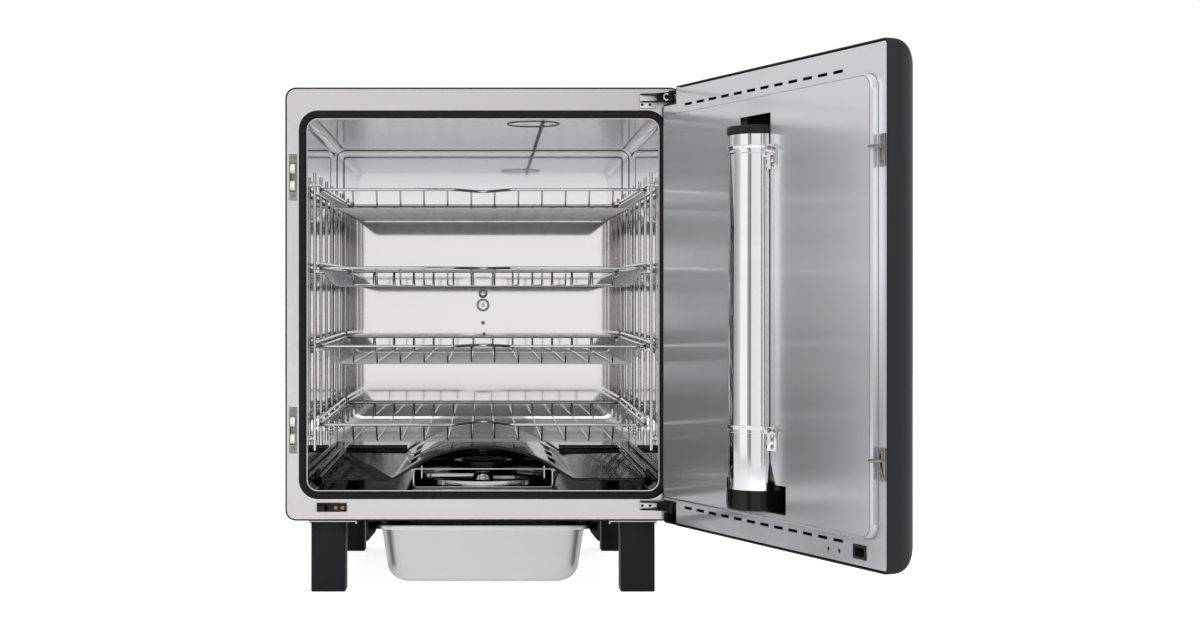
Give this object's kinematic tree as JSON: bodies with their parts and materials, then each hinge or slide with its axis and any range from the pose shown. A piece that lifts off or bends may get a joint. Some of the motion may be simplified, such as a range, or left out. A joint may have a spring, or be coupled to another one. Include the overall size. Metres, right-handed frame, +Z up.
{
  "type": "food smoker",
  "caption": "Cabinet food smoker on square legs with a hinged insulated door that carries the wood-puck feeder tube, sliding wire baskets, a burner under an arched deflector and a drip pan.",
  "frame": {"origin": "middle of the footprint of the whole smoker with its door open, at the floor", "axes": "+X to the right and +Y to the back, seen from the front; +Z up"},
  "size_m": [0.6516, 0.9298, 0.588],
  "materials": {
    "anthracite": "powder coat, fine satin texture",
    "stainless": "brushed",
    "mirror": "polished to a soft mirror",
    "chrome": "bright chrome plating",
    "black": "satin black paint",
    "black_plastic": "moulded, fine matt texture",
    "rubber": "smooth matt",
    "nickel": "dull nickel plating",
    "ivory": "moulded nylon",
    "wool": "mineral wool",
    "board": "lacquered circuit board",
    "glass": "gloss black window",
    "heater": "oxidised heating rod"
  },
  "bodies": {
    "cabinet": {"outer_wrap": "anthracite", "front_frame": "stainless", "back_panel": "anthracite", "cavity_liner": "mirror", "insulation": "wool", "door_gasket": "rubber", "power_inlet": "black_plastic", "control_board": "board", "leg_front_left": "black", "leg_front_right": "black", "leg_rear_left": "black", "leg_rear_right": "black", "leg_rail_left": "stainless", "leg_rail_right": "stainless", "pan_runner_left": "black", "pan_runner_right": "black", "drip_chute": "stainless", "rack_support_left": "chrome", "rack_support_right": "chrome", "deflector": "stainless", "heater_left": "heater", "heater_right": "heater", "burner_pan": "stainless", "burner_plate": "heater", "burner_guard": "stainless", "temperature_probe": "stainless", "ceiling_sensor": "stainless", "latch_body": "black_plastic", "hinge_arm_upper": "stainless", "hinge_arm_lower": "stainless", "catch_upper": "nickel", "catch_lower": "nickel"},
    "door": {"door_shell": "anthracite", "door_inner_panel": "stainless", "door_insulation": "wool", "feeder_trough": "black", "feeder_tube": "chrome", "feeder_base": "black_plastic", "clamp_upper": "chrome", "clamp_lower": "chrome", "hinge_pocket_upper": "black_plastic", "hinge_pocket_lower": "black_plastic", "strike_upper": "nickel", "strike_lower": "nickel", "latch_socket": "black_plastic", "door_handle": "stainless", "control_panel": "glass"},
    "feeder_cap": {"feeder_cap": "black_plastic"},
    "drip_pan": {"drip_pan": "stainless"},
    "basket_1": {"basket_1": "chrome"},
    "basket_2": {"basket_2": "chrome"},
    "basket_3": {"basket_3": "chrome"},
    "basket_4": {"basket_4": "chrome"},
    "roller_upper_a": {"roller_upper_a": "ivory"},
    "roller_upper_b": {"roller_upper_b": "ivory"},
    "roller_lower_a": {"roller_lower_a": "ivory"},
    "roller_lower_b": {"roller_lower_b": "ivory"},
    "latch_hook": {"latch_hook": "black_plastic"},
    "puck_arm": {"puck_arm": "stainless"}
  },
  "joints": [
    {"name": "door_swing", "type": "hinge", "parent": "cabinet", "child": "door", "pos_m": [0.12222, -0.04594, 0.335], "axis": [0, 0, 1], "range_deg": [-111.5, 10]},
    {"name": "feeder_cap_lift", "type": "slide", "parent": "door", "child": "feeder_cap", "axis": [0, 0, 1], "range_m": [0, 0.01]},
    {"name": "drip_pan_slide", "type": "slide", "parent": "cabinet", "child": "drip_pan", "axis": [0, -1, 0], "range_m": [0, 0.25]},
    {"name": "basket_1_slide", "type": "slide", "parent": "cabinet", "child": "basket_1", "axis": [0, -1, -0.0084], "range_m": [0, 0.3]},
    {"name": "basket_2_slide", "type": "slide", "parent": "cabinet", "child": "basket_2", "axis": [0, -1, -0.0084], "range_m": [0, 0.3]},
    {"name": "basket_3_slide", "type": "slide", "parent": "cabinet", "child": "basket_3", "axis": [0, -1, -0.0084], "range_m": [0, 0.3]},
    {"name": "basket_4_slide", "type": "slide", "parent": "cabinet", "child": "basket_4", "axis": [0, -1, -0.0084], "range_m": [0, 0.3]},
    {"name": "roller_upper_a_spin", "type": "hinge", "parent": "cabinet", "child": "roller_upper_a", "pos_m": [-0.31678, -0.02844, 0.4935], "axis": [1, 0, 0], "continuous": true},
    {"name": "roller_upper_b_spin", "type": "hinge", "parent": "cabinet", "child": "roller_upper_b", "pos_m": [-0.31678, -0.02844, 0.4735], "axis": [1, 0, 0], "continuous": true},
    {"name": "roller_lower_a_spin", "type": "hinge", "parent": "cabinet", "child": "roller_lower_a", "pos_m": [-0.31678, -0.02844, 0.1994], "axis": [1, 0, 0], "continuous": true},
    {"name": "roller_lower_b_spin", "type": "hinge", "parent": "cabinet", "child": "roller_lower_b", "pos_m": [-0.31678, -0.02844, 0.1794], "axis": [1, 0, 0], "continuous": true},
    {"name": "latch_hook_release", "type": "hinge", "parent": "cabinet", "child": "latch_hook", "pos_m": [-0.28079, -0.02194, 0.0997], "axis": [0, 0, 1], "range_deg": [0, 10], "stiffness_Nm_per_rad": 0.02},
    {"name": "puck_arm_sweep", "type": "hinge", "parent": "cabinet", "child": "puck_arm", "pos_m": [-0.09578, 0.04206, 0.128], "axis": [0, 0, 1], "range_deg": [-60, 0]}
  ]
}
